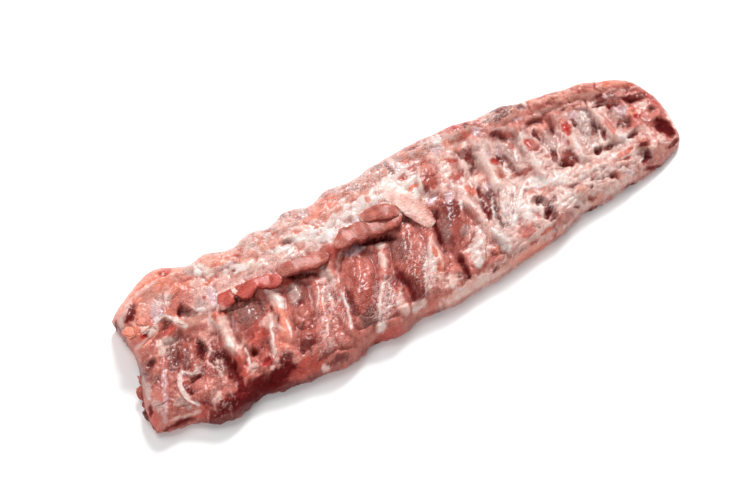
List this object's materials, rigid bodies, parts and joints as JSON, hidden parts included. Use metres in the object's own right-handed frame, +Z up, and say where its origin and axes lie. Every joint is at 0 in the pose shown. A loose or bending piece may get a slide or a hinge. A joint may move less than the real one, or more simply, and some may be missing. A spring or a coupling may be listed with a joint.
{
  "type": "raw rack of ribs",
  "caption": "Raw rack of pork ribs lying with its bones up: leaning rib ridges, muscle lobes between them, a lumpy fatty backbone edge and skirt strips.",
  "frame": {"origin": "under the middle of the rack's bounding box, on the surface that it lies on", "axes": "+X along the rack towards its narrow rounded end, +Y towards the backbone edge, +Z up from the flat underside to the bony side"},
  "size_m": [0.5068, 0.149, 0.043],
  "materials": {
    "raw_meat": "wet raw meat and fat, glossy"
  },
  "bodies": {
    "root": {"rib_rack": "raw_meat"}
  },
  "joints": []
}
